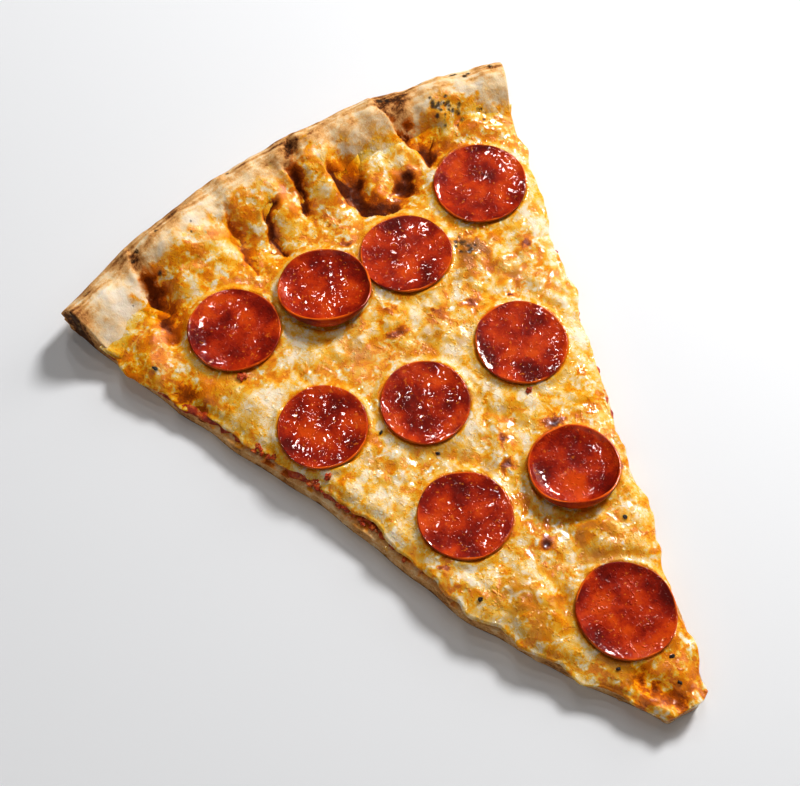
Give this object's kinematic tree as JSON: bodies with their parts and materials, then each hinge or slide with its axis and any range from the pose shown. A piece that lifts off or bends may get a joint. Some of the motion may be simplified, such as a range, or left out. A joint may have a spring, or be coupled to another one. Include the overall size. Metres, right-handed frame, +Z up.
{
  "type": "pepperoni pizza slice",
  "caption": "Wedge of thin-crust pizza lying flat: dough with a lumpy baked rim, sauce, melted cheese and round pepperoni, two of them cupped.",
  "frame": {"origin": "on the flat underside, at the middle of the slice's outline", "axes": "+Y along the slice from its tip to its rim, +Z up, +X to the right seen from above with the tip nearest"},
  "size_m": [0.1592, 0.2087, 0.0174],
  "materials": {
    "baked_dough": "baked dough, floury and matte, browned at its edge",
    "tomato_sauce": "cooked tomato sauce, moist",
    "melted_cheese": "melted cheese, oily, cream with orange and brown patches",
    "pepperoni_meat": "cooked cured sausage, oily and fine-grained"
  },
  "bodies": {
    "root": {"crust": "baked_dough", "sauce": "tomato_sauce", "cheese": "melted_cheese", "pepperoni_01": "pepperoni_meat", "pepperoni_02": "pepperoni_meat", "pepperoni_03": "pepperoni_meat", "pepperoni_04": "pepperoni_meat", "pepperoni_05": "pepperoni_meat", "pepperoni_06": "pepperoni_meat", "pepperoni_07": "pepperoni_meat", "pepperoni_08": "pepperoni_meat", "pepperoni_09": "pepperoni_meat", "pepperoni_10": "pepperoni_meat"}
  },
  "joints": []
}
